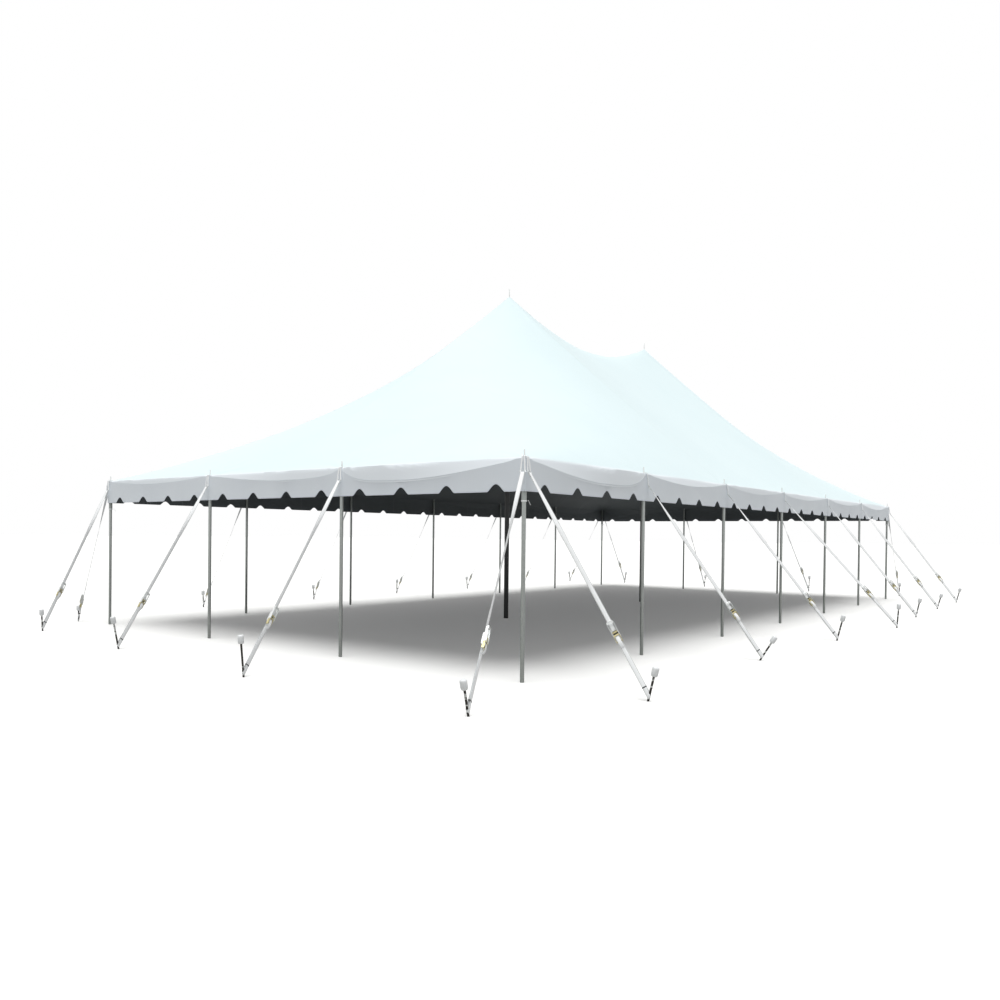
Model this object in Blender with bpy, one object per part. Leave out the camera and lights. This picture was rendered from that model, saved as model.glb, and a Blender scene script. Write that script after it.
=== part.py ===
# Pole marquee tent: a tensioned fabric top over two centre poles, with side poles,
# a scalloped valance, and ratchet straps to leaning capped stakes.
# Metres, +Z up. The origin is on the ground at the middle of the tent. X runs along the
# long side and Y across; front is the long side at -Y and left is the short side at -X.

import math

import bmesh
import bpy
from mathutils import Matrix, Vector

# Plan: a grid of square bays, with a side pole at every grid point of the edge.
BAY = 3.048
BAYS_LONG = 6
BAYS_SHORT = 3
HALF_LONG = BAY * BAYS_LONG / 2
HALF_SHORT = BAY * BAYS_SHORT / 2
PEAK_X = BAY

# Heights of the fabric's top side.
EAVE_HEIGHT = 2.625
PEAK_HEIGHT = 6.61
RIDGE_MID_HEIGHT = 6.0

# Canopy: how its slopes bend, and how its edge dips between poles.
FABRIC = 0.004
GAP = 0.0003
EDGE_OUT = 0.035
EDGE_FALL = 0.6
SLOPE_CURVE = 0.08
RIDGE_ROUND = 0.05
EAVE_DIP = 0.11
DIP_REACH = 0.45
STOPS_PER_BAY = 4
ROWS_UP = (0.0, 0.008, 0.03, 0.075, 0.15, 0.28, 0.45, 0.62, 0.78, 0.9, 0.97, 1.0)

# Valance that hangs from the canopy's edge.
VALANCE_DROP = 0.40
NOTCHES_PER_BAY = 4
NOTCH_HALF = 0.15
NOTCH_DEPTH = 0.095
NOTCH_SHAPE = ((-1.0, 0.0), (-0.45, 0.62), (0.0, 1.0), (0.45, 0.62), (1.0, 0.0))

# Poles: a tube, a plugged shoulder under the canopy and a pin through it.
SIDE_TUBE = 0.025
SIDE_PIN = 0.009
SIDE_PIN_ABOVE = 0.095
CENTRE_TUBE = 0.0475
CENTRE_PIN = 0.010
CENTRE_PIN_ABOVE = 0.165
SHOULDER = 0.03
SHOULDER_DROP = 0.006
POLE_SIDES = 12
PIN_ROOM = 0.0004

# Guys: a sling on the pin, a strap with its ratchet, and a stake with a cap.
SLING_WIDTH = 0.034
SLING_LIFT = 0.02
SLING_STEP = 0.0065
SLING_INNER = 0.018
SLING_OUTER = 0.05
RING_OUT = 0.072
RING_DROP = 0.19
RING_WIDTH = 0.066
STRAP_WIDTH = 0.05
STRAP_THICK = 0.005
STRAP_FOOT = 0.055
STRAP_PAST_STAKE = 0.02
TAPER = 0.006
TWIST_FROM = 0.08
TWIST_TO = 0.9
TWIST_STEPS = 4
RATCHET_AT = {"front": 0.74, "back": 0.86, "left": 0.74, "right": 0.74}
RATCHET_LONG = 0.21
RATCHET_WIDE = 0.068
RATCHET_THICK = 0.04
LOOP_LONG = 0.1
LOOP_THICK = 0.034
STAKE_ROD = 0.0125
STAKE_SIDES = 8
CAP_RADIUS = 0.037
CAP_LONG = 0.105

# Each stake: its reach outward from the pole, its shift along the edge, how far its rod
# stands out of the ground up to the cap, and its lean outward and along the edge.
STAKE = (1.75, 0.0, 0.31, 0.24, 0.0)
FAR_END = (1.92, -0.38, 0.405, 0.10, 0.0)
FAR_SIDE = (1.98, 0.72, 0.365, 0.07, 0.0)
STAKES_OFF_LINE = {
    "guy_left_0": (1.868, -0.667, 0.27, 0.24, 0.0),
    "guy_left_1": FAR_END,
    "guy_left_2": (1.628, -0.125, 0.385, 0.20, 0.0),
    "guy_left_3": (1.314, -0.186, 0.27, 0.06, 0.0),
    "guy_right_1": FAR_END,
    "guy_front_0": (1.62, -0.05, 0.275, 0.24, 0.0),
    "guy_front_1": (1.48, 0.66, 0.295, 0.55, 0.20),
    "guy_front_2": (1.66, 0.81, 0.34, 0.24, 0.0),
    "guy_front_3": FAR_SIDE,
    "guy_front_4": (1.80, 0.45, 0.33, 0.20, 0.0),
    "guy_front_5": (1.75, 0.25, 0.29, 0.24, 0.05),
    "guy_back_0": (0.90, -0.13, 0.21, 0.20, 0.0),
    "guy_back_1": (1.88, 0.25, 0.31, 0.24, 0.0),
    "guy_back_2": (1.88, 0.52, 0.31, 0.24, 0.0),
    "guy_back_3": FAR_SIDE,
    "guy_back_4": (1.88, 0.85, 0.31, 0.24, 0.0),
    "guy_back_5": (1.88, 1.0, 0.31, 0.24, 0.0),
    "guy_back_6": (1.88, 1.0, 0.31, 0.24, 0.0),
}


def clear_scene():
    for old in list(bpy.data.objects):
        bpy.data.objects.remove(old, do_unlink=True)


def make_material(name, colour, roughness, metallic):
    material = bpy.data.materials.new(name)
    material.use_nodes = True
    shader = material.node_tree.nodes["Principled BSDF"]
    shader.inputs["Base Color"].default_value = (*colour, 1.0)
    shader.inputs["Roughness"].default_value = roughness
    shader.inputs["Metallic"].default_value = metallic
    return material


def add_solid(name, bm, material=None):
    """Makes an object of the mesh, with its faces pointing out and its round sides smooth."""
    bmesh.ops.recalc_face_normals(bm, faces=bm.faces)
    mesh = bpy.data.meshes.new(name)
    bm.to_mesh(mesh)
    bm.free()
    mesh.shade_smooth()
    mesh.set_sharp_from_angle(angle=math.radians(35))
    made = bpy.data.objects.new(name, mesh)
    bpy.context.scene.collection.objects.link(made)
    if material:
        mesh.materials.append(material)
    return made


def as_helper(helper):
    helper.hide_render = True
    helper.display_type = "WIRE"
    return helper


def combine(target, helper, operation):
    step = target.modifiers.new(helper.name, "BOOLEAN")
    step.operation = operation
    step.solver = "EXACT"
    step.object = helper


def loft(bm, sections):
    """Extrudes the first section, a closed outline, through all the others."""
    face = bm.faces.new([bm.verts.new(point) for point in sections[0]])
    for number, section in enumerate(sections[1:]):
        grown = bmesh.ops.extrude_face_region(bm, geom=[face])["geom"]
        if number:
            bm.faces.remove(face)
        face = next(item for item in grown if isinstance(item, bmesh.types.BMFace))
        for vert, point in zip(face.verts, section):
            vert.co = point


def thick_sheet(name, rows, offset, material):
    """A grid of points made a closed sheet, by extruding all of it along offset."""
    bm = bmesh.new()
    columns = len(rows[0])
    bmesh.ops.create_grid(bm, x_segments=columns - 1, y_segments=len(rows) - 1)
    bm.verts.ensure_lookup_table()
    for i, point in enumerate(point for row in rows for point in row):
        bm.verts[i].co = point
    bmesh.ops.triangulate(bm, faces=bm.faces)
    grown = bmesh.ops.extrude_face_region(bm, geom=bm.faces[:])["geom"]
    moved = [item for item in grown if isinstance(item, bmesh.types.BMVert)]
    bmesh.ops.translate(bm, verts=moved, vec=offset)
    return add_solid(name, bm, material)


def bay_wave(along):
    """0 at a pole and 1 halfway between two, for a distance from any pole."""
    return math.sin(math.pi * along / BAY) ** 2


def canopy_height(x, y):
    """The fabric's top side: two pointed peaks, a dipping ridge and rounded hips."""
    to_peak = min(abs(x) / PEAK_X, 1.0)
    ridge = RIDGE_MID_HEIGHT + (PEAK_HEIGHT - RIDGE_MID_HEIGHT) * to_peak**2
    soft = RIDGE_ROUND * (1.0 - to_peak**2)
    across = (math.hypot(y / HALF_SHORT, soft) - soft) / (math.hypot(1.0, soft) - soft)
    along = max(abs(x) - PEAK_X, 0.0) / (HALF_LONG - PEAK_X)
    rise_across = max(1.0 - across, 1e-6)
    rise_along = max(1.0 - along, 1e-6)
    rise = 1.0 / (1.0 / rise_across + 1.0 / rise_along - 1.0)
    height = EAVE_HEIGHT + (ridge - EAVE_HEIGHT) * (rise + SLOPE_CURVE * (rise**2 - rise))
    from_side = HALF_SHORT - abs(y)
    from_end = HALF_LONG - abs(x)
    dip_side = bay_wave(x) * math.exp(-((max(from_side, 0.0) / DIP_REACH) ** 2))
    dip_end = bay_wave(from_side) * math.exp(-((max(from_end, 0.0) / DIP_REACH) ** 2))
    beyond = max(-from_side, -from_end, 0.0)
    return height - EAVE_DIP * (dip_side + dip_end) - EDGE_FALL * beyond


def edge_stops(bays):
    """Places along an edge, from one outer corner to the other, with one at each pole between."""
    steps = bays * STOPS_PER_BAY
    inner = [BAY * (i / STOPS_PER_BAY - bays / 2) for i in range(1, steps)]
    corner = bays * BAY / 2 + EDGE_OUT
    return [-corner, *inner, corner]


def slope_rows(bays, half_edge, depth, half_top, hip_gap):
    """Rows of (along, out) from the eave, at depth from the middle, up to the top edge."""
    shares = [stop / edge_stops(bays)[-1] for stop in edge_stops(bays)]
    for up in ROWS_UP:
        half = max(half_edge * (1.0 - up) + half_top * up - hip_gap, hip_gap)
        out = depth[0] * (1.0 - up) + depth[1] * up
        yield [(half * share, out) for share in shares]


def roof_slope(name, side, material):
    """A long slope, from its eave to the ridge between the peaks."""
    depth = (HALF_SHORT + EDGE_OUT, GAP / 2)
    flat = slope_rows(BAYS_LONG, HALF_LONG + EDGE_OUT, depth, PEAK_X, GAP)
    rows = [[(x, side * y, canopy_height(x, y)) for x, y in row] for row in flat]
    return thick_sheet(name, rows, (0.0, 0.0, -FABRIC), material)


def roof_end(name, side, material):
    """An end slope, from the short eave to one peak."""
    depth = (HALF_LONG + EDGE_OUT, PEAK_X + CENTRE_PIN / 4)
    flat = slope_rows(BAYS_SHORT, HALF_SHORT + EDGE_OUT, depth, CENTRE_PIN / 8, GAP)
    rows = [[(side * x, y, canopy_height(x, y)) for y, x in row] for row in flat]
    return thick_sheet(name, rows, (0.0, 0.0, -FABRIC), material)


def notched_stops(bays, half):
    """Places along a valance, from -half to half, with how far its lower edge is cut up."""
    pitch = BAY / NOTCHES_PER_BAY
    cuts = {-half: 0.0, half: 0.0}
    for i in range(bays * NOTCHES_PER_BAY):
        middle = pitch * (i + 0.5) - bays * BAY / 2
        for share, cut in NOTCH_SHAPE:
            cuts[middle + NOTCH_HALF * share] = NOTCH_DEPTH * cut
        if i:
            cuts[middle - pitch / 2] = 0.0
    return sorted(cuts.items())


def height_between(at, stops, heights):
    """The height of a straight-sided edge at a place between its stops."""
    for i in range(len(stops) - 1):
        if stops[i] <= at <= stops[i + 1]:
            share = (at - stops[i]) / (stops[i + 1] - stops[i])
            return heights[i] * (1.0 - share) + heights[i + 1] * share
    return heights[0]


def valance(name, bays, half, place, inward, material):
    """A scalloped strip under one edge; place(along) gives its plan point."""
    stops = edge_stops(bays)
    heights = [canopy_height(*place(stop)) for stop in stops]
    upper = []
    lower = []
    for along, cut in notched_stops(bays, half):
        top = height_between(along, stops, heights) - FABRIC - GAP
        upper.append((*place(along), top))
        lower.append((*place(along), EAVE_HEIGHT - VALANCE_DROP + cut))
    return thick_sheet(name, [upper, lower], Vector(inward) * FABRIC, material)


def ring(centre, radius, side, up, sides):
    """Points of a circle in the plane of two directions."""
    turns = [2.0 * math.pi * (i + 0.5) / sides for i in range(sides)]
    return [centre + side * (radius * math.cos(turn)) + up * (radius * math.sin(turn)) for turn in turns]


def pole(name, place, tube, pin, above, material):
    """A tube that stands on the ground, with its pin above the canopy."""
    x, y = place
    rim = ring(Vector((x, y, 0.0)), tube, Vector((1, 0, 0)), Vector((0, 1, 0)), POLE_SIDES)
    seat = min(canopy_height(point.x, point.y) for point in rim) - FABRIC - SHOULDER_DROP
    top = canopy_height(x, y) + above
    profile = [(tube, 0.0), (tube, seat - SHOULDER), (tube * 0.88, seat), (pin, seat)]
    profile += [(pin, top - pin), (pin * 0.5, top)]
    bm = bmesh.new()
    east, north = Vector((1, 0, 0)), Vector((0, 1, 0))
    loft(bm, [ring(Vector((0, 0, z)), radius, east, north, POLE_SIDES) for radius, z in profile])
    made = add_solid(name, bm, material)
    made.location = (x, y, 0.0)
    return made


def pin_holes(pins):
    """One cutter with a rod at every pin."""
    bm = bmesh.new()
    for (x, y), pin in pins:
        radius = (pin + PIN_ROOM) / math.cos(math.pi / POLE_SIDES)
        middle = Matrix.Translation((x, y, canopy_height(x, y)))
        bmesh.ops.create_cone(
            bm,
            cap_ends=True,
            segments=POLE_SIDES,
            radius1=radius,
            radius2=radius,
            depth=0.5,
            matrix=middle,
        )
    return as_helper(add_solid("pin_holes", bm))


def strap_section(at, heading, wide, width, thick):
    """The four corners of a flat strap's section, square to its heading."""
    across = wide * (width / 2)
    face = heading.cross(wide).normalized() * (thick / 2)
    return [at + across + face, at - across + face, at - across - face, at + across - face]


def guy(name, place, outward, lift, twist, material):
    """A strap from the pin at place to its stake on the ground, with its ratchet and cap."""
    reach, shift, stands, lean_out, lean_along = STAKES_OFF_LINE.get(name, STAKE)
    outward = Vector(outward)
    edge = Vector((abs(outward.y), abs(outward.x), 0.0))
    pin = Vector((*place, canopy_height(*place) + lift))
    base = Vector((*place, 0.0)) + outward * reach + edge * shift
    axis = outward * lean_out + edge * lean_along + Vector((0.0, 0.0, 1.0))
    run = Vector((base.x - pin.x, base.y - pin.y, 0.0)).normalized()
    across = Vector((-run.y, run.x, 0.0))
    turn = pin + run * SLING_OUTER
    hook = pin + run * RING_OUT - Vector((0.0, 0.0, RING_DROP))
    foot = base + axis * STRAP_FOOT
    down = (hook - turn).normalized()
    line = (foot - hook).normalized()
    on_edge = line.cross(across).normalized() * twist
    long = (foot - hook).length

    sections = [strap_section(pin - run * SLING_INNER, run, across, SLING_WIDTH, STRAP_THICK)]
    sections += [strap_section(turn, (run + down).normalized(), across, SLING_WIDTH, STRAP_THICK)]
    sections += [strap_section(hook, (down + line).normalized(), across, RING_WIDTH, STRAP_THICK)]
    sections += [strap_section(hook + line * TAPER, line, across, STRAP_WIDTH, STRAP_THICK)]
    for i in range(TWIST_STEPS + 1):
        quarter = math.pi / 2 * i / TWIST_STEPS
        wide = across * math.cos(quarter) + on_edge * math.sin(quarter)
        at = hook + line * (TWIST_FROM + (TWIST_TO - TWIST_FROM) * i / TWIST_STEPS)
        sections.append(strap_section(at, line, wide, STRAP_WIDTH, STRAP_THICK))
    box_from = long * RATCHET_AT[name.split("_")[1]] - RATCHET_LONG / 2
    box_to = box_from + RATCHET_LONG
    stations = [(box_from - TAPER, STRAP_WIDTH, STRAP_THICK), (box_from, RATCHET_WIDE, RATCHET_THICK)]
    stations += [(box_to, RATCHET_WIDE, RATCHET_THICK), (box_to + TAPER, STRAP_WIDTH, STRAP_THICK)]
    stations += [(long - LOOP_LONG, STRAP_WIDTH, STRAP_THICK), (long, STRAP_WIDTH, LOOP_THICK)]
    stations += [(long + STRAP_PAST_STAKE, STRAP_WIDTH, LOOP_THICK)]
    sections += [strap_section(hook + line * s, line, on_edge, width, thick) for s, width, thick in stations]
    bm = bmesh.new()
    loft(bm, sections)
    bmesh.ops.triangulate(bm, faces=bm.faces)
    strap = add_solid(name, bm, material)
    stake = as_helper(stake_with_cap(name + "_stake", base, axis, stands))
    combine(strap, stake, "UNION")
    return strap


def stake_with_cap(name, base, axis, stands):
    """A rod that leans from a flat foot on the ground, with a round cap on top."""
    tilt = axis.normalized()
    side = Vector((0.0, 0.0, 1.0)).cross(tilt).normalized()
    square = tilt.cross(side)
    level = Vector((0.0, 0.0, 1.0)).cross(side)
    profile = [(STAKE_ROD, stands), (CAP_RADIUS * 0.8, stands), (CAP_RADIUS, stands + 0.03)]
    profile += [(CAP_RADIUS, stands + CAP_LONG - 0.014), (CAP_RADIUS * 0.72, stands + CAP_LONG)]
    sections = [ring(base, STAKE_ROD, side, level, STAKE_SIDES)]
    sections += [ring(base + tilt * s, radius, side, square, STAKE_SIDES) for radius, s in profile]
    bm = bmesh.new()
    loft(bm, sections)
    return add_solid(name, bm)


clear_scene()
vinyl = make_material("white_blockout_vinyl", (0.93, 0.96, 0.97), 0.5, 0.0)
galvanised = make_material("galvanised_steel", (0.30, 0.32, 0.33), 0.45, 0.9)
black_steel = make_material("black_painted_steel", (0.03, 0.03, 0.03), 0.5, 0.0)
webbing = make_material("white_webbing", (0.85, 0.86, 0.85), 0.8, 0.0)

side_pins = {}
for i in range(BAYS_LONG + 1):
    side_pins[f"side_pole_front_{i}"] = (BAY * i - HALF_LONG, -HALF_SHORT)
    side_pins[f"side_pole_back_{i}"] = (BAY * i - HALF_LONG, HALF_SHORT)
for i in range(1, BAYS_SHORT):
    side_pins[f"side_pole_left_{i}"] = (-HALF_LONG, BAY * i - HALF_SHORT)
    side_pins[f"side_pole_right_{i}"] = (HALF_LONG, BAY * i - HALF_SHORT)
centre_pins = {"centre_pole_left": (-PEAK_X, 0.0), "centre_pole_right": (PEAK_X, 0.0)}

for name, place in side_pins.items():
    pole(name, place, SIDE_TUBE, SIDE_PIN, SIDE_PIN_ABOVE, galvanised)
for name, place in centre_pins.items():
    pole(name, place, CENTRE_TUBE, CENTRE_PIN, CENTRE_PIN_ABOVE, black_steel)

pins = [(place, SIDE_PIN) for place in side_pins.values()]
pins += [(place, CENTRE_PIN) for place in centre_pins.values()]
holes = pin_holes(pins)

canopy = [roof_slope("roof_front", -1, vinyl), roof_slope("roof_back", 1, vinyl)]
canopy += [roof_end("roof_left", -1, vinyl), roof_end("roof_right", 1, vinyl)]

edge_x = HALF_LONG + EDGE_OUT
edge_y = HALF_SHORT + EDGE_OUT
short_half = edge_y - FABRIC - GAP
valance("valance_front", BAYS_LONG, edge_x, lambda s: (s, -edge_y), (0, 1, 0), vinyl)
valance("valance_back", BAYS_LONG, edge_x, lambda s: (s, edge_y), (0, -1, 0), vinyl)
valance("valance_left", BAYS_SHORT, short_half, lambda s: (-edge_x, s), (1, 0, 0), vinyl)
valance("valance_right", BAYS_SHORT, short_half, lambda s: (edge_x, s), (-1, 0, 0), vinyl)

guys = []
for i in range(BAYS_LONG + 1):
    x = BAY * i - HALF_LONG
    guys.append(guy(f"guy_front_{i}", (x, -HALF_SHORT), (0, -1, 0), SLING_LIFT, 1, webbing))
    guys.append(guy(f"guy_back_{i}", (x, HALF_SHORT), (0, 1, 0), SLING_LIFT, -1, webbing))
for i in range(BAYS_SHORT + 1):
    y = BAY * i - HALF_SHORT
    lift = SLING_LIFT + (SLING_STEP if i in (0, BAYS_SHORT) else 0.0)
    guys.append(guy(f"guy_left_{i}", (-HALF_LONG, y), (-1, 0, 0), lift, -1, webbing))
    guys.append(guy(f"guy_right_{i}", (HALF_LONG, y), (1, 0, 0), lift, 1, webbing))

for piece in canopy + guys:
    combine(piece, holes, "DIFFERENCE")
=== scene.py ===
import math

import bmesh
import bpy
from mathutils import Matrix, Vector


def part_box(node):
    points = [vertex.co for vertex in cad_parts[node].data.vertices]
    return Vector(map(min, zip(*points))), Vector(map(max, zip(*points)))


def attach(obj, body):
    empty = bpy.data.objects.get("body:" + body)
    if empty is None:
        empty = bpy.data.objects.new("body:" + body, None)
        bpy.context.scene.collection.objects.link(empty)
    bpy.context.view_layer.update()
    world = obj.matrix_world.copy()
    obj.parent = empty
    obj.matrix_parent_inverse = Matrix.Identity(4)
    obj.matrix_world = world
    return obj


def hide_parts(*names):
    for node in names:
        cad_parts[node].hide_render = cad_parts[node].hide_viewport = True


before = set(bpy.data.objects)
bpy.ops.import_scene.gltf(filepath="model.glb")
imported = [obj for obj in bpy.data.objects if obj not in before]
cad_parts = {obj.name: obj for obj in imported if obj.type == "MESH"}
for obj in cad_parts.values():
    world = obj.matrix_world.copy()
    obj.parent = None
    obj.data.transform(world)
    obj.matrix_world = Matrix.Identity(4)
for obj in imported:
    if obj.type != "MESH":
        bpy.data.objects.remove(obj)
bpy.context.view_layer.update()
print("frame loaded:", len(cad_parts), "nodes")


# Helpers for shaping pieces in edit mode, and for finishing them.

def beginShape(name, addPrimitive, **settings):
    bpy.ops.object.select_all(action="DESELECT")
    addPrimitive(**settings)
    piece = bpy.context.object
    piece.name = piece.data.name = name
    bpy.ops.object.mode_set(mode="EDIT")
    return piece


def pickFaces(piece, test):
    bpy.ops.mesh.select_mode(type="FACE")
    bpy.ops.mesh.select_all(action="DESELECT")
    shape = bmesh.from_edit_mesh(piece.data)
    for face in shape.faces:
        face.select_set(test(face))
    bmesh.update_edit_mesh(piece.data)


def pickEdges(piece, test):
    bpy.ops.mesh.select_mode(type="EDGE")
    bpy.ops.mesh.select_all(action="DESELECT")
    shape = bmesh.from_edit_mesh(piece.data)
    for edge in shape.edges:
        edge.select_set(test(edge))
    bmesh.update_edit_mesh(piece.data)


def extrudeBy(offset):
    bpy.ops.mesh.extrude_region_move(TRANSFORM_OT_translate={"value": offset})


def endShape(piece, material, smoothAngle=35.0):
    bpy.ops.object.mode_set(mode="OBJECT")
    bpy.ops.object.transform_apply(location=True, rotation=True, scale=True)
    bpy.ops.object.shade_smooth_by_angle(angle=math.radians(smoothAngle))
    piece.data.materials.clear()
    piece.data.materials.append(material)
    return piece


def joinPieces(name, parts):
    bpy.ops.object.select_all(action="DESELECT")
    for part in parts:
        part.select_set(True)
    bpy.context.view_layer.objects.active = parts[0]
    if len(parts) > 1:
        bpy.ops.object.join()
    parts[0].name = parts[0].data.name = name
    return parts[0]


def copyTo(pattern, name, matrix):
    piece = pattern.copy()
    piece.data = pattern.data.copy()
    piece.data.transform(matrix)
    piece.name = piece.data.name = name
    bpy.context.scene.collection.objects.link(piece)
    return piece


def dropPattern(piece):
    bpy.data.objects.remove(piece, do_unlink=True)


def applyModifier(piece, kind, **settings):
    bpy.ops.object.select_all(action="DESELECT")
    piece.select_set(True)
    bpy.context.view_layer.objects.active = piece
    step = piece.modifiers.new(kind.title(), kind)
    for setting, value in settings.items():
        setattr(step, setting, value)
    bpy.ops.object.modifier_apply(modifier=step.name)


def meshPiece(name, shape, materials):
    mesh = bpy.data.meshes.new(name)
    shape.to_mesh(mesh)
    shape.free()
    for material in materials:
        mesh.materials.append(material)
    piece = bpy.data.objects.new(name, mesh)
    bpy.context.scene.collection.objects.link(piece)
    return piece


def smoothRound(piece, angle):
    bpy.ops.object.select_all(action="DESELECT")
    piece.select_set(True)
    bpy.context.view_layer.objects.active = piece
    bpy.ops.object.shade_smooth_by_angle(angle=math.radians(angle))


def place(piece, slot, *nodes):
    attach(piece, "root")
    if nodes:
        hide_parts(*nodes)


# Helpers for materials: one for colours, one for nodes.

def hexColour(code):
    parts = [int(code[i:i + 2], 16) / 255.0 for i in (1, 3, 5)]
    linear = [p / 12.92 if p <= 0.04045 else ((p + 0.055) / 1.055) ** 2.4 for p in parts]
    return (*linear, 1.0)


def addNode(tree, kind, settings=None, inputs=None):
    node = tree.nodes.new(kind)
    for name, value in (settings or {}).items():
        setattr(node, name, value)
    for socket, value in (inputs or {}).items():
        if isinstance(value, bpy.types.NodeSocket):
            tree.links.new(value, node.inputs[socket])
        else:
            node.inputs[socket].default_value = value
    return node


def beginMaterial(name, roughness, metallic=0.0):
    material = bpy.data.materials.new(name)
    material.use_nodes = True
    tree = material.node_tree
    shader = tree.nodes["Principled BSDF"]
    shader.inputs["Roughness"].default_value = roughness
    shader.inputs["Metallic"].default_value = metallic
    return material, tree, shader


# A colour between two hex tones, by a value from 0 to 1.
def blendTones(tree, share, toneA, toneB):
    tones = {6: toneA if isinstance(toneA, bpy.types.NodeSocket) else hexColour(toneA)}
    tones[7] = toneB if isinstance(toneB, bpy.types.NodeSocket) else hexColour(toneB)
    mix = addNode(tree, "ShaderNodeMix", {"data_type": "RGBA"}, {0: share, **tones})
    return mix.outputs[2]


def calculate(tree, operation, *values):
    node = addNode(tree, "ShaderNodeMath", {"operation": operation}, dict(enumerate(values)))
    return node.outputs[0]


# 1 within halfWidth of every multiple of pitch along a coordinate, and 0 elsewhere.
def bandMask(tree, coordinate, pitch, halfWidth):
    away = calculate(tree, "PINGPONG", coordinate, pitch / 2)
    return calculate(tree, "LESS_THAN", away, halfWidth)


def addBump(tree, shader, height, distance, strength=1.0):
    inputs = {"Height": height, "Distance": distance, "Strength": strength}
    bump = addNode(tree, "ShaderNodeBump", None, inputs)
    tree.links.new(bump.outputs["Normal"], shader.inputs["Normal"])


# Sizes that the fabric, the guys and the looks share, read from the frame where it has them.

def spotOf(node):
    low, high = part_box(node)
    return (low.x + high.x) / 2, (low.y + high.y) / 2


# A node's own name in the manner of this script: side_pole_left_1 gives sidePoleLeft1.
def camelName(node):
    first, *others = node.split("_")
    return first + "".join(word.title() for word in others)


halfLong = spotOf("side_pole_front_6")[0]
halfShort = spotOf("side_pole_back_0")[1]
peakX = spotOf("centre_pole_right")[0]
bay = halfLong / 3

fabric = {
    "flat": (12.2, 20.8),  # the panels' outline before they are cut to the slopes
    "valanceDrop": 0.4,
    "panelWidth": bay / 2,  # rolls welded side by side, 60 in wide
    "weldHalf": 0.012,
    "threadPitch": 0.012,  # the scrim's threads are 1.2 mm apart: drawn ten times as coarse to show
    # Painted light and shade: the slopes' cyan white and the valance's bluer white are one vinyl, tinted as it looks in
    # full light and as it looks in shade.
    "outside": "#E4F3F5",
    "outsideShade": "#DCEDF0",
    "edgeTone": 0.06,  # the turned-down edge takes the valance's painted-shade hue over this width
    "weldTone": "#D6E2E6",
    "valance": "#EDF3F8",
    "valanceShade": "#E2E9F0",
    # The inside's greys are lighter than the real charcoal coat: painted light, for the little light that reaches the
    # inside.
    "inside": "#70767A",
    "insideShade": "#62686C",
    "insideWeld": "#7C8286",
}


# 1 at the canopy's outer edge, falling to 0 a little way in: where the painted shade hue lies.
def nearEdge(tree, split):
    shares = []
    for axis, half in (("X", halfLong), ("Y", halfShort)):
        out = calculate(tree, "ABSOLUTE", split.outputs[axis])
        out = calculate(tree, "SUBTRACT", out, half + canopy["edgeOut"] - fabric["edgeTone"])
        shares.append(calculate(tree, "DIVIDE", out, fabric["edgeTone"] * 0.6))
    most = calculate(tree, "MAXIMUM", *shares)
    return calculate(tree, "MINIMUM", calculate(tree, "MAXIMUM", most, 0.0), 1.0)


# Vinyl-coated polyester, calendered and welded: satin white, with the weave faint under the coat, and painted shade in
# a bluer hue along its turned-down edge.
def whiteVinyl():
    material, tree, shader = beginMaterial("whiteCoatedVinyl", 0.5)
    spot = addNode(tree, "ShaderNodeTexCoord").outputs["Object"]
    split = addNode(tree, "ShaderNodeSeparateXYZ", None, {0: spot})
    cloudy = addNode(tree, "ShaderNodeTexNoise", None, {"Vector": spot, "Scale": 0.6, "Detail": 5.0})
    tone = blendTones(tree, cloudy.outputs["Fac"], fabric["outside"], fabric["outsideShade"])
    weld = bandMask(tree, split.outputs["X"], fabric["panelWidth"], fabric["weldHalf"])
    softWeld = calculate(tree, "MULTIPLY", weld, 0.2)
    tone = blendTones(tree, softWeld, tone, fabric["weldTone"])
    # Painted shade: the canopy's turned-down edge takes the valance's bluer hue, as the steep fabric looks in shade.
    tone = blendTones(tree, nearEdge(tree, split), tone, fabric["valance"])
    tree.links.new(tone, shader.inputs["Base Color"])
    threads = 1.0 / fabric["threadPitch"]
    weave = addNode(tree, "ShaderNodeTexNoise", None, {"Vector": spot, "Scale": threads, "Detail": 2.0})
    height = calculate(tree, "MULTIPLY_ADD", weld, 0.6, weave.outputs["Fac"])
    addBump(tree, shader, height, 0.0006, 0.35)
    return material


# The blackout side: the same cloth with a charcoal coat, matt, so the tent is dark within; its grey is partly painted
# light, lighter than the coat.
def charcoalVinyl():
    material, tree, shader = beginMaterial("charcoalBlackoutCoat", 0.62)
    spot = addNode(tree, "ShaderNodeTexCoord").outputs["Object"]
    split = addNode(tree, "ShaderNodeSeparateXYZ", None, {0: spot})
    cloudy = addNode(tree, "ShaderNodeTexNoise", None, {"Vector": spot, "Scale": 0.8, "Detail": 5.0})
    tone = blendTones(tree, cloudy.outputs["Fac"], fabric["inside"], fabric["insideShade"])
    weld = bandMask(tree, split.outputs["X"], fabric["panelWidth"], fabric["weldHalf"])
    tone = blendTones(tree, calculate(tree, "MULTIPLY", weld, 0.5), tone, fabric["insideWeld"])
    tree.links.new(tone, shader.inputs["Base Color"])
    threads = 1.0 / fabric["threadPitch"]
    weave = addNode(tree, "ShaderNodeTexNoise", None, {"Vector": spot, "Scale": threads, "Detail": 2.0})
    addBump(tree, shader, weave.outputs["Fac"], 0.0006, 0.4)
    return material
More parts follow.
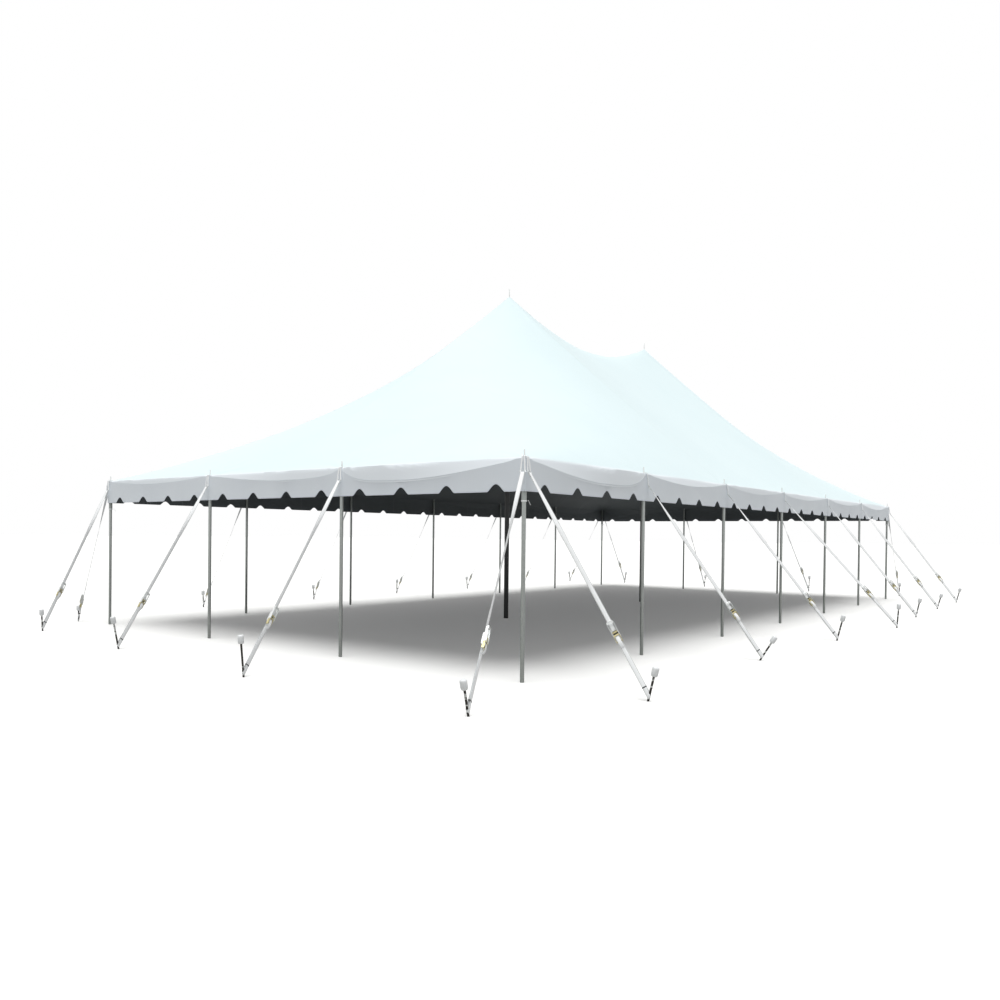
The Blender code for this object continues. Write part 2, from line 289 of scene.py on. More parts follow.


# The valance is the same vinyl, with a row of stitches along its bound edge, drawn on its UV map.
def valanceVinyl():
    material, tree, shader = beginMaterial("whiteVinylStitched", 0.5)
    spot = addNode(tree, "ShaderNodeTexCoord")
    split = addNode(tree, "ShaderNodeSeparateXYZ", None, {0: spot.outputs["UV"]})
    cloudy = addNode(tree, "ShaderNodeTexNoise", None, {"Vector": spot.outputs["Object"], "Scale": 1.1})
    # Painted shade: the valance's bluer white is the hue of the same vinyl in shade.
    tone = blendTones(tree, cloudy.outputs["Fac"], fabric["valance"], fabric["valanceShade"])
    binding = calculate(tree, "LESS_THAN", split.outputs["Y"], valance["binding"])
    tone = blendTones(tree, calculate(tree, "MULTIPLY", binding, 0.4), tone, "#D9E0EC")
    nearStitch = calculate(tree, "ABSOLUTE", calculate(tree, "SUBTRACT", split.outputs["Y"], valance["stitchUp"]))
    onLine = calculate(tree, "LESS_THAN", nearStitch, 0.0012)
    dashes = calculate(tree, "GREATER_THAN", calculate(tree, "PINGPONG", split.outputs["X"], 0.004), 0.0012)
    stitch = calculate(tree, "MULTIPLY", onLine, dashes)
    tone = blendTones(tree, calculate(tree, "MULTIPLY", stitch, 0.6), tone, "#B4BBBD")
    tree.links.new(tone, shader.inputs["Base Color"])
    threads = 1.0 / fabric["threadPitch"]
    inputs = {"Vector": spot.outputs["Object"], "Scale": threads, "Detail": 2.0}
    weave = addNode(tree, "ShaderNodeTexNoise", None, inputs)
    height = calculate(tree, "MULTIPLY_ADD", binding, 0.8, weave.outputs["Fac"])
    addBump(tree, shader, height, 0.0006, 0.35)
    return material


# Hot-dip galvanised tube: dull grey, with crystal-like spangles about 12 mm across.
def galvanisedTube():
    material, tree, shader = beginMaterial("galvanisedTube", 0.42, 1.0)
    spot = addNode(tree, "ShaderNodeTexCoord").outputs["Object"]
    spangle = addNode(tree, "ShaderNodeTexVoronoi", None, {"Vector": spot, "Scale": 1.0 / 0.012})
    grain = addNode(tree, "ShaderNodeSeparateColor", None, {0: spangle.outputs["Color"]}).outputs[0]
    long = addNode(tree, "ShaderNodeMapping", None, {"Vector": spot, "Scale": (30.0, 30.0, 1.2)})
    streak = addNode(tree, "ShaderNodeTexNoise", None, {"Vector": long.outputs[0], "Scale": 1.0, "Detail": 4.0})
    tone = blendTones(tree, grain, "#ACB1AF", "#BABEBB")
    tone = blendTones(tree, calculate(tree, "MULTIPLY", streak.outputs["Fac"], 0.4), tone, "#8A8F8D")
    tree.links.new(tone, shader.inputs["Base Color"])
    rough = calculate(tree, "MULTIPLY_ADD", grain, 0.16, 0.34)
    tree.links.new(rough, shader.inputs["Roughness"])
    return material


# Powder-coated steel: near black, with a soft gloss and a fine orange peel; its grey is lighter than the coat, painted
# light for poles that get little light.
def blackPowderCoat():
    material, tree, shader = beginMaterial("blackPowderCoat", 0.42)
    shader.inputs["Base Color"].default_value = hexColour("#5C5D5E")
    spot = addNode(tree, "ShaderNodeTexCoord").outputs["Object"]
    peel = addNode(tree, "ShaderNodeTexNoise", None, {"Vector": spot, "Scale": 1.0 / 0.004, "Detail": 1.0})
    addBump(tree, shader, peel.outputs["Fac"], 0.0004, 0.3)
    wear = addNode(tree, "ShaderNodeTexNoise", None, {"Vector": spot, "Scale": 6.0, "Detail": 6.0})
    rough = calculate(tree, "MULTIPLY_ADD", wear.outputs["Fac"], 0.2, 0.32)
    tree.links.new(rough, shader.inputs["Roughness"])
    return material


# Woven polyester webbing: bright white ribs across the strap, darker along each edge, with a faint painted glow.
def polyesterWebbing():
    material, tree, shader = beginMaterial("polyesterWebbing", 0.72)
    spot = addNode(tree, "ShaderNodeTexCoord").outputs["UV"]
    split = addNode(tree, "ShaderNodeSeparateXYZ", None, {0: spot})
    ribPitch = 0.006  # real ribs are 2 mm apart: drawn three times as coarse to show
    rib = calculate(tree, "PINGPONG", split.outputs["X"], ribPitch / 2)
    rib = calculate(tree, "DIVIDE", rib, ribPitch / 2)
    edge = calculate(tree, "GREATER_THAN", calculate(tree, "ABSOLUTE", split.outputs["Y"]), 0.019)
    worn = addNode(tree, "ShaderNodeTexNoise", None, {"Vector": spot, "Scale": 14.0, "Detail": 4.0})
    tone = blendTones(tree, worn.outputs["Fac"], "#FBFCFD", "#EEF1F2")
    tone = blendTones(tree, calculate(tree, "MULTIPLY", edge, 0.6), tone, "#B2B5B1")
    tree.links.new(tone, shader.inputs["Base Color"])
    shader.inputs["Sheen Weight"].default_value = 0.3
    shader.inputs["Emission Color"].default_value = hexColour("#F4F6F8")
    shader.inputs["Emission Strength"].default_value = 0.06  # painted light: a faint glow that lifts the straps' faces turned from the light
    addBump(tree, shader, rib, 0.0005, 0.5)
    return material


# The same webbing after a season's use: greyed, and gathered round the corner poles.
def greyWebbing():
    material, tree, shader = beginMaterial("greyedWebbing", 0.78)
    spot = addNode(tree, "ShaderNodeTexCoord").outputs["Object"]
    split = addNode(tree, "ShaderNodeSeparateXYZ", None, {0: spot})
    ribPitch = 0.006  # real ribs are 2 mm apart: drawn three times as coarse to show
    rib = calculate(tree, "DIVIDE", calculate(tree, "PINGPONG", split.outputs["Z"], ribPitch / 2), ribPitch / 2)
    worn = addNode(tree, "ShaderNodeTexNoise", None, {"Vector": spot, "Scale": 20.0, "Detail": 4.0})
    tone = blendTones(tree, worn.outputs["Fac"], "#C3C8C6", "#B1B7B4")
    tree.links.new(tone, shader.inputs["Base Color"])
    addBump(tree, shader, rib, 0.0005, 0.5)
    return material


# Bright zinc plate on pressed steel, gone a little chalky outdoors: pale silver with a soft shine.
def brightZinc():
    material, tree, shader = beginMaterial("brightZincPlate", 0.4, 0.55)
    spot = addNode(tree, "ShaderNodeTexCoord").outputs["Object"]
    dull = addNode(tree, "ShaderNodeTexNoise", None, {"Vector": spot, "Scale": 90.0, "Detail": 3.0})
    tone = blendTones(tree, dull.outputs["Fac"], "#F0F2F1", "#CFD3D2")
    tree.links.new(tone, shader.inputs["Base Color"])
    tree.links.new(calculate(tree, "MULTIPLY_ADD", dull.outputs["Fac"], 0.2, 0.32), shader.inputs["Roughness"])
    return material


# Yellow passivated zinc: straw gold with a greenish drift, as on ratchet handles.
def yellowZinc():
    material, tree, shader = beginMaterial("yellowZincPlate", 0.4, 0.7)
    spot = addNode(tree, "ShaderNodeTexCoord").outputs["Object"]
    drift = addNode(tree, "ShaderNodeTexNoise", None, {"Vector": spot, "Scale": 40.0, "Detail": 2.0})
    tone = blendTones(tree, drift.outputs["Fac"], "#E2D9AE", "#B7AC7C")
    tree.links.new(tone, shader.inputs["Base Color"])
    return material


# Galvanised stake bar, driven many times: its pale zinc shows in short bands between black, scuffed scale.
def forgedSteel():
    material, tree, shader = beginMaterial("forgedStakeSteel", 0.55, 0.4)
    spot = addNode(tree, "ShaderNodeTexCoord").outputs["Object"]
    tall = addNode(tree, "ShaderNodeMapping", None, {"Vector": spot, "Scale": (4.0, 4.0, 22.0)})
    band = addNode(tree, "ShaderNodeTexNoise", None, {"Vector": tall.outputs[0], "Scale": 1.0, "Detail": 1.0})
    bare = addNode(
        tree,
        "ShaderNodeMapRange",
        None,
        {"Value": band.outputs["Fac"], "From Min": 0.56, "From Max": 0.6},
    )
    patch = addNode(tree, "ShaderNodeTexNoise", None, {"Vector": spot, "Scale": 60.0, "Detail": 6.0})
    scale = blendTones(tree, patch.outputs["Fac"], "#232324", "#453F3A")
    tone = blendTones(tree, bare.outputs[0], scale, "#C9CBC9")
    tree.links.new(tone, shader.inputs["Base Color"])
    addBump(tree, shader, patch.outputs["Fac"], 0.002, 0.5)
    return material


# Bonded polyester thread: dark grey stitches; the same dark grey bands each foot loop where its plies part, painted
# shade of the loop's opening.
def bondedThread():
    material, tree, shader = beginMaterial("bondedThread", 0.6)
    spot = addNode(tree, "ShaderNodeTexCoord").outputs["UV"]
    twist = addNode(tree, "ShaderNodeTexNoise", None, {"Vector": spot, "Scale": 400.0, "Detail": 2.0})
    tone = blendTones(tree, twist.outputs["Fac"], "#303234", "#4C4F51")
    tree.links.new(tone, shader.inputs["Base Color"])
    return material


# Moulded polyethylene cap: pale grey, waxy, with a little dirt in its fine texture.
def mouldedPlastic():
    material, tree, shader = beginMaterial("mouldedCapPlastic", 0.48)
    shader.inputs["Subsurface Weight"].default_value = 0.3
    shader.inputs["Subsurface Radius"].default_value = (0.012, 0.012, 0.012)
    spot = addNode(tree, "ShaderNodeTexCoord").outputs["Object"]
    speck = addNode(tree, "ShaderNodeTexNoise", None, {"Vector": spot, "Scale": 60.0, "Detail": 5.0})
    tone = blendTones(tree, speck.outputs["Fac"], "#F6F8F9", "#E8EBEC")
    tree.links.new(tone, shader.inputs["Base Color"])
    addBump(tree, shader, speck.outputs["Fac"], 0.0005, 0.3)
    return material


# Floor, light and camera.

view = {
    "place": (-17.326, -10.149, 1.718),  # where the photograph was taken from
    "heading": 38.583,  # degrees from +X towards +Y
    "pitch": -0.599,
    "roll": 0.594,
    "focalPixels": 849.3,
    "centrePixel": (459.6, 543.2),
    "framePixels": 1000,
    "sensor": 36.0,
}
light = {
    "skyForObject": 0.3,
    "skySeen": 1.0,
    "sunStrength": 2.75,
    "sunAngle": 50.0,  # degrees across: a broad, soft source
    "sunFrom": (-0.22, -0.12, 1.0),
    "floorSeen": "#F6F6F4",
    "floorForObject": "#B4B4B2",  # it throws less light up than it shows, as black cloths beside a set do
    "floorFill": 0.13,  # lifts the shade that it shows, as lamps under the tent would
}


def makeCamera():
    heading, pitch, roll = (math.radians(view[key]) for key in ("heading", "pitch", "roll"))
    level = math.cos(pitch)
    forward = Vector((math.cos(heading) * level, math.sin(heading) * level, math.sin(pitch)))
    right = Vector((math.sin(heading), -math.cos(heading), 0.0))
    up = right.cross(forward)
    leanRight = right * math.cos(roll) + up * math.sin(roll)
    leanUp = up * math.cos(roll) - right * math.sin(roll)
    turn = Matrix((leanRight, leanUp, -forward)).transposed().to_4x4()
    data = bpy.data.cameras.new("photoCamera")
    data.sensor_width = view["sensor"]
    data.lens = view["focalPixels"] / view["framePixels"] * view["sensor"]
    data.shift_x = 0.5 - view["centrePixel"][0] / view["framePixels"]
    data.shift_y = view["centrePixel"][1] / view["framePixels"] - 0.5
    data.clip_end = 600.0
    camera = bpy.data.objects.new("photoCamera", data)
    camera.matrix_world = Matrix.Translation(view["place"]) @ turn
    bpy.context.scene.collection.objects.link(camera)
    bpy.context.scene.camera = camera


def makeFloor():
    material, tree, shader = beginMaterial("paleFloor", 0.9)
    seen = addNode(tree, "ShaderNodeLightPath").outputs["Is Camera Ray"]
    tone = blendTones(tree, seen, light["floorForObject"], light["floorSeen"])
    tree.links.new(tone, shader.inputs["Base Color"])
    shader.inputs["Emission Color"].default_value = (1.0, 1.0, 1.0, 1.0)
    fill = calculate(tree, "MULTIPLY", seen, light["floorFill"])
    tree.links.new(fill, shader.inputs["Emission Strength"])
    bpy.ops.object.select_all(action="DESELECT")
    bpy.ops.mesh.primitive_plane_add(size=500.0, location=(0.0, 0.0, 0.0))
    floor = bpy.context.object
    floor.name = "studioFloor"
    floor.data.materials.append(material)


def makeLight():
    world = bpy.data.worlds.new("studioWorld")
    world.use_nodes = True
    bpy.context.scene.world = world
    tree = world.node_tree
    background = tree.nodes["Background"]
    background.inputs["Color"].default_value = (1.0, 1.0, 1.0, 1.0)
    dimmed = addNode(tree, "ShaderNodeLightPath").outputs["Is Diffuse Ray"]
    strength = calculate(tree, "MULTIPLY_ADD", dimmed, light["skyForObject"] - light["skySeen"], light["skySeen"])
    tree.links.new(strength, background.inputs["Strength"])
    data = bpy.data.lights.new("softSun", "SUN")
    data.energy = light["sunStrength"]
    data.angle = math.radians(light["sunAngle"])
    sun = bpy.data.objects.new("softSun", data)
    sun.rotation_mode = "QUATERNION"
    sun.rotation_quaternion = Vector(light["sunFrom"]).to_track_quat("Z", "Y")
    bpy.context.scene.collection.objects.link(sun)
    bpy.context.scene.view_settings.view_transform = "Standard"


makeCamera()
makeFloor()
makeLight()
print("camera, floor and light made")


# The fabric top: the surface of the solids, drawn finer, with turned-down edges and tension folds.

canopy = {
    "eave": 2.625,
    "peak": 6.61,
    "ridgeMid": 6.0,
    "slopeCurve": 0.08,
    "ridgeRound": 0.05,
    "edgeOut": 0.035,
    "edgeFall": 0.15,
    "thick": 0.003,
    "poleDrop": 0.003,  # how far the edge turns down at a pole
    "fullLean": 0.7,  # a bay whose ends differ as much has all its drop near one end
    "turnReach": (0.04, 0.45),  # how far in the turn begins for its drop, where crisp and where soft
    "turnEase": 0.22,
    "bellyOut": 0.018,  # how far the edge stands out between poles
    "bellyReach": 0.3,
    "hem": (0.006, 0.01, 0.012),
    "poleFold": 0.005,
    "peakFold": 0.006,
    "sway": 0.006,
    "finest": 0.14,
}
# How each bay's edge turns down, from its side's first corner: how softly at the bay's first pole and at
# its last, from 0 for a crisp fold to 1 for a slant, and the most that it drops between them.
edgeTurns = {
    "left": ((1.0, 0.0, 0.2), (0.15, 0.9, 0.13), (0.2, 0.1, 0.08)),
    "front": ((1.0, 0.0, 0.21), (0.9, 0.8, 0.1), (0.1, 0.1, 0.1), (0.3, 0.7, 0.1), (0.8, 0.6, 0.1), (1.0, 1.0, 0.12)),
    "right": ((1.0, 0.6, 0.11), (0.1, 0.8, 0.12), (0.9, 0.2, 0.16)),
    "back": ((0.3, 0.1, 0.08), (0.7, 0.9, 0.11), (0.1, 0.3, 0.1), (0.8, 0.2, 0.15), (0.6, 0.9, 0.1), (0.1, 1.0, 0.18)),
}
valance = {
    "bottom": 2.225,
    "notches": 4,  # in each bay
    "notchHalf": {"front": 0.125, "left": 0.125, "back": 0.11, "right": 0.11},
    "notchDepth": {"front": 0.093, "left": 0.093, "back": 0.068, "right": 0.068},
    "notchShape": 1.25,
    "binding": 0.018,
    "stitchUp": 0.013,
    "thick": 0.002,
    "over": 0.0025,  # how far it stands outside the canopy's hem, which it is sewn on
    "ripple": 0.007,
    "rows": 14,
    "stepsPerNotch": 36,
}


# A bay's turn at a place along its side, with the share of the bay that lies before it.
def turnAt(side, along):
    start = halfLong if side in ("front", "back") else halfShort
    turns = edgeTurns[side]
    before = min(max((along + start) / bay, 0.0), len(turns))
    number = min(int(before), len(turns) - 1)
    return (*turns[number], before - number)


# How far the edge hangs below the line from pole to pole: evenly, or soon after the bay's softer end.
def edgeDrop(side, along):
    first, last, most, share = turnAt(side, along)
    lean = min(abs(last - first) / canopy["fullLean"], 1.0)
    run = 1.0 - share if last > first else share
    leaning = (1.0 - (1.0 - min(run / 0.6, 1.0)) ** 1.6) * (1.0 - run**12)
    even = math.sin(math.pi * share)
    return canopy["poleDrop"] + most * (lean * leaning + (1.0 - lean) * even)


def slopeHeight(x, y):
    toPeak = min(abs(x) / peakX, 1.0)
    ridge = canopy["ridgeMid"] + (canopy["peak"] - canopy["ridgeMid"]) * toPeak**2
    soft = canopy["ridgeRound"] * (1.0 - toPeak**2)
    across = (math.hypot(y / halfShort, soft) - soft) / (math.hypot(1.0, soft) - soft)
    along = max(abs(x) - peakX, 0.0) / (halfLong - peakX)
    riseAcross = max(1.0 - across, 1e-6)
    riseAlong = max(1.0 - along, 1e-6)
    rise = 1.0 / (1.0 / riseAcross + 1.0 / riseAlong - 1.0)
    bent = rise + canopy["slopeCurve"] * (rise**2 - rise)
    beyond = max(abs(y) - halfShort, abs(x) - halfLong, 0.0)
    return canopy["eave"] + (ridge - canopy["eave"]) * bent - canopy["edgeFall"] * beyond


# How far the fabric has turned down at a distance in from its outer edge.
def turnedDown(side, along, inFromEdge):
    first, last, most, share = turnAt(side, along)
    drop = edgeDrop(side, along)
    late = first > last
    eased = min((share if late else 1.0 - share) / 0.75, 1.0)
    eased = eased**2 * (3.0 - 2.0 * eased)
    soft = first + (last - first) * (eased if late else 1.0 - eased)
    crispReach, softReach = canopy["turnReach"]
    reach = 0.004 + drop * (crispReach + (softReach - crispReach) * soft)
    turned = min(max(1.0 - inFromEdge / reach, 0.0), 1.0)
    ease = canopy["turnEase"]
    return drop * (math.hypot(turned, ease) - ease) / (math.hypot(1.0, ease) - ease)


polePins = [(bay * i - halfLong, side * halfShort) for i in range(7) for side in (-1, 1)]
polePins += [(side * halfLong, bay * i - halfShort) for i in (1, 2) for side in (-1, 1)]


# Small folds that fan out from each pin, and a slow sway over the whole surface.
def foldHeight(x, y):
    lift = 0.0
    for number, (px, py) in enumerate(polePins):
        away = math.hypot(x - px, y - py)
        if away < 1.6:
            fan = math.atan2(y - py, x - px)
            fade = math.exp(-((away / 0.55) ** 2)) * (1.0 - math.exp(-((away / 0.09) ** 2)))
            lift += canopy["poleFold"] * fade * math.cos(13.0 * fan + 1.7 * number)
    for side in (-1.0, 1.0):
        away = math.hypot(x - side * peakX, y)
        if away < 3.0:
            fan = math.atan2(y, x - side * peakX)
            fade = math.exp(-((away / 1.1) ** 2)) * (1.0 - math.exp(-((away / 0.2) ** 2)))
            lift += canopy["peakFold"] * fade * math.cos(18.0 * fan + side)
    inside = min(halfLong - abs(x), halfShort - abs(y))
    calm = 1.0 - math.exp(-((max(inside, 0.0) / 0.8) ** 2))
    sway = math.sin(2.1 * x + 1.3 * y) + math.sin(1.2 * x - 2.7 * y + 1.0) + math.sin(3.9 * x + 0.6)
    return lift + canopy["sway"] * calm * sway / 3.0


def canopyTop(x, y):
    height = slopeHeight(x, y) + foldHeight(x, y)
    height -= turnedDown("front" if y < 0 else "back", x, halfShort + canopy["edgeOut"] - abs(y))
    height -= turnedDown("left" if x < 0 else "right", y, halfLong + canopy["edgeOut"] - abs(x))
    return height


# Places along one direction: close together at the edges, at the poles and at the peaks.
def stopsAlong(half, poles, peaks):
    edge = half + canopy["edgeOut"]
    stops = {0.0, edge}
    fine = (0.0006, 0.002, 0.0045, 0.008, 0.013, 0.019, 0.027, 0.037, 0.05, 0.066, 0.088, 0.116, 0.15, 0.19)
    for step in (*fine, 0.24, 0.3, 0.38, 0.47):
        stops.add(edge - step)
    for middle in poles:
        stops.update(abs(middle + s) for s in (-0.3, -0.2, -0.13, -0.08, -0.04, 0, 0.04, 0.08, 0.13, 0.2, 0.3))
    for middle in peaks:
        stops.update(abs(middle + s) for s in (-0.14, -0.09, -0.055, -0.025, 0, 0.025, 0.055, 0.09, 0.14))
    count = int(edge / canopy["finest"])
    stops.update(edge * i / count for i in range(count))
    kept = []
    for stop in sorted(stops):
        if stop <= edge and (not kept or stop - kept[-1] > 0.0005):
            kept.append(stop)
    kept[-1] = edge
    return [-stop for stop in reversed(kept[1:])] + kept


def bellyAt(side, along):
    return canopy["bellyOut"] * (edgeDrop(side, along) - canopy["poleDrop"]) / 0.2


# The grid's points stand out a little between poles, where the edge bellies.
def canopySpot(x, y):
    spot = Vector((x, y, canopyTop(x, y)))
    near = max(1.0 - (halfShort + canopy["edgeOut"] - abs(y)) / canopy["bellyReach"], 0.0)
    spot.y += math.copysign(bellyAt("front" if y < 0 else "back", x) * near**2, y)
    near = max(1.0 - (halfLong + canopy["edgeOut"] - abs(x)) / canopy["bellyReach"], 0.0)
    spot.x += math.copysign(bellyAt("left" if x < 0 else "right", y) * near**2, x)
    return spot


def makeCanopy():
    xs = stopsAlong(halfLong, [bay, 2 * bay, halfLong], [peakX])
    ys = stopsAlong(halfShort, [bay / 2, halfShort], [0.0])
    shape = bmesh.new()
    rows = [[shape.verts.new(canopySpot(x, y)) for x in xs] for y in ys]
    for low, high in zip(rows, rows[1:]):
        for i in range(len(xs) - 1):
            shape.faces.new((low[i], low[i + 1], high[i + 1], high[i]))
    ring = rows[0][:-1] + [row[-1] for row in rows[:-1]] + rows[-1][:0:-1] + [row[0] for row in rows[:0:-1]]
    for step in canopy["hem"]:
        lower = [shape.verts.new(vert.co - Vector((0.0, 0.0, step))) for vert in ring]
        for i in range(len(ring)):
            after = (i + 1) % len(ring)
            shape.faces.new((ring[i], lower[i], lower[after], ring[after]))
        ring = lower
    bmesh.ops.recalc_face_normals(shape, faces=shape.faces)
    piece = meshPiece("canopyCloth", shape, [whiteCloth, charcoalCloth])
    applyModifier(piece, "SOLIDIFY", thickness=canopy["thick"], offset=-1.0, material_offset=1, material_offset_rim=0)
    smoothRound(piece, 50.0)
    place(piece, "blockout_vinyl", "roof_front", "roof_back", "roof_left", "roof_right")
    return piece


# How far the valance's lower edge is cut up: a row of bell-shaped notches.
def notchCut(side, along, start):
    pitch = bay / valance["notches"]
    away = abs((along + start) % pitch - pitch / 2) / valance["notchHalf"][side]
    return valance["notchDepth"][side] * math.cos(math.pi / 2 * min(away, 1.0)) ** valance["notchShape"]


def valanceRipple(side, along, down):
    start = halfLong if side in ("front", "back") else halfShort
    phase = {"front": 0.0, "back": 2.0, "left": 1.0, "right": 3.0}[side]
    free = math.sin(math.pi * (along + start) / bay) ** 2
    wave = math.sin(7.0 * along + phase) + 0.7 * math.sin(12.3 * along + 2.0 * phase) + 0.4 * math.sin(4.1 * along)
    return valance["ripple"] * free * wave / 2.1 * down


def makeValance(side, outward):
    wide = side in ("front", "back")
    start, depth = (halfLong, halfShort) if wide else (halfShort, halfLong)
    end = start + canopy["edgeOut"] + (valance["over"] if wide else 0.0)
    outward = Vector(outward)
    edgeWay = outward.cross(Vector((0.0, 0.0, -1.0)))
    step = bay / valance["notches"] / valance["stepsPerNotch"]
    count = round(2 * start / step)
    stops = [-end] + [i * step - start for i in range(count + 1)] + [end]
    shape = bmesh.new()
    uv = shape.loops.layers.uv.new("alongAndUp")
    columns = []
    for along in stops:
        edge = edgeWay * along + outward * (depth + canopy["edgeOut"])
        top = canopyTop(edge.x, edge.y)
        inset = max(min(edge.x if wide else edge.y, start), -start)
        bottom = valance["bottom"] + notchCut(side, inset, start)
        column = []
        for row in range(valance["rows"] + 1):
            down = row / valance["rows"]
            out = bellyAt(side, inset) * (1.0 - down) ** 2 + valance["over"] + valanceRipple(side, inset, down)
            spot = edge + outward * out
            spot.z = top * (1.0 - down) + bottom * down
            column.append((shape.verts.new(spot), along, spot.z - bottom))
        columns.append(column)
    for near, far in zip(columns, columns[1:]):
        for row in range(valance["rows"]):
            corners = (near[row], near[row + 1], far[row + 1], far[row])
            face = shape.faces.new([corner[0] for corner in corners])
            for loop, corner in zip(face.loops, corners):
                loop[uv].uv = corner[1:]
    piece = meshPiece("valance" + side.title(), shape, [stitchedCloth, charcoalCloth])
    applyModifier(piece, "SOLIDIFY", thickness=valance["thick"], offset=-1.0, material_offset=1, material_offset_rim=0)
    smoothRound(piece, 50.0)
    place(piece, "blockout_vinyl", "valance_" + side)
    return piece


whiteCloth = whiteVinyl()
charcoalCloth = charcoalVinyl()
stitchedCloth = valanceVinyl()


outwards = {"front": (0, -1, 0), "back": (0, 1, 0), "left": (-1, 0, 0), "right": (1, 0, 0)}
poleNames = {node: camelName(node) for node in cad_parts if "_pole_" in node}
canopyCloth = makeCanopy()
for side, outward in outwards.items():
    cloth = makeValance(side, outward)
print("canopy and valances made")


# Poles: a round tube with a swaged shoulder, and a pin through the canopy.

sidePole = {"radius": 0.025, "pin": 0.009, "shoulder": 0.03, "swage": 0.88, "sides": 32, "drop": 0.006}
centrePole = {"radius": 0.0475, "pin": 0.010, "shoulder": 0.03, "swage": 0.88, "sides": 40, "drop": 0.05}
cornerTie = {
    "top": 2.262,
    "bottom": 2.105,
    "radius": 0.0305,
    "band": 0.018,
    "tail": ((0.012, 0.0), (0.026, 0.002), (0.036, -0.012), (0.046, -0.034), (0.058, -0.052)),  # out, up
    "tailWide": 0.007,
}


# How far a pole's seat lies under the fabric's top at its pin.
def seatBelow(sizes):
    return canopy["thick"] + sizes["drop"] + 0.6 * sizes["radius"]


# One pole at the origin, from the ground to the tip of its pin.
def polePattern(name, sizes, seat, top, tube, pinMetal):
    radius = sizes["radius"]
    straight = seat - sizes["shoulder"]
    pole = beginShape(
        name,
        bpy.ops.mesh.primitive_cylinder_add,
        vertices=sizes["sides"],
        radius=radius,
        depth=straight,
        location=(0.0, 0.0, straight / 2),
    )
    pickEdges(pole, lambda edge: all(vert.co.z < -straight / 2 + 0.001 for vert in edge.verts))
    bpy.ops.mesh.bevel(offset=0.002, segments=2)
    pickFaces(pole, lambda face: face.normal.z > 0.9)
    extrudeBy((0.0, 0.0, sizes["shoulder"]))
    bpy.ops.transform.resize(value=(sizes["swage"], sizes["swage"], 1.0))
    bpy.ops.mesh.inset(thickness=radius * sizes["swage"] - sizes["pin"])
    extrudeBy((0.0, 0.0, top - seat - sizes["pin"]))
    extrudeBy((0.0, 0.0, sizes["pin"]))
    bpy.ops.transform.resize(value=(0.45, 0.45, 1.0))
    endShape(pole, tube)
    pole.data.materials.append(pinMetal)
    for face in pole.data.polygons:
        face.material_index = 1 if face.center.z > seat + 0.0005 else 0
    return pole


def makePoles():
    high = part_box("side_pole_front_1")[1]
    seat = canopy["eave"] - seatBelow(sidePole)
    pattern = polePattern("sidePolePattern", sidePole, seat, high.z, galvanised, zincPlate)
    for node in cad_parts:
        if node.startswith("side_pole_"):
            pole = copyTo(pattern, poleNames[node], Matrix.Translation((*spotOf(node), 0.0)))
            place(pole, "galvanised_steel", node)
    dropPattern(pattern)
    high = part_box("centre_pole_left")[1]
    seat = canopy["peak"] - seatBelow(centrePole)
    pattern = polePattern("centrePolePattern", centrePole, seat, high.z, blackCoat, zincPlate)
    for node in ("centre_pole_left", "centre_pole_right"):
        pole = copyTo(pattern, poleNames[node], Matrix.Translation((*spotOf(node), 0.0)))
        place(pole, "black_steel", node)
    dropPattern(pattern)


# A flat woven strap along a path; sideways is its width's direction, or one for each point.
def addWebbing(shape, path, sideways, width, thick, materialIndex=0):
    uv = shape.loops.layers.uv.verify()
    outline = ((-1, 0.5), (-0.95, 1), (0.95, 1), (1, 0.5), (1, -0.5), (0.95, -1), (-0.95, -1), (-1, -0.5))
    run = 0.0
    rings = []
    for i, spot in enumerate(path):
        before, after = path[max(i - 1, 0)], path[min(i + 1, len(path) - 1)]
        heading = (after - before).normalized()
        wide = sideways[i] if isinstance(sideways, list) else sideways
        face = heading.cross(wide).normalized()
        run += (spot - before).length
        ring = []
        for across, up in outline:
            point = spot + wide * (across * width / 2) + face * (up * thick / 2)
            ring.append((shape.verts.new(point), run, across * width / 2))
        rings.append(ring)
    faces = []
    for near, far in zip(rings, rings[1:]):
        for k in range(len(outline)):
            after = (k + 1) % len(outline)
            corners = (near[k], near[after], far[after], far[k])
            face = shape.faces.new([corner[0] for corner in corners])
            for loop, corner in zip(face.loops, corners):
                loop[uv].uv = corner[1:]
            faces.append(face)
    faces.append(shape.faces.new([corner[0] for corner in reversed(rings[0])]))
    faces.append(shape.faces.new([corner[0] for corner in rings[-1]]))
    for face in faces:
        face.material_index = materialIndex


def arcAround(centre, start, other, radius, fromTurn, toTurn, steps):
    turns = [math.radians(fromTurn + (toTurn - fromTurn) * i / steps) for i in range(steps + 1)]
    return [centre + start * (radius * math.cos(turn)) + other * (radius * math.sin(turn)) for turn in turns]


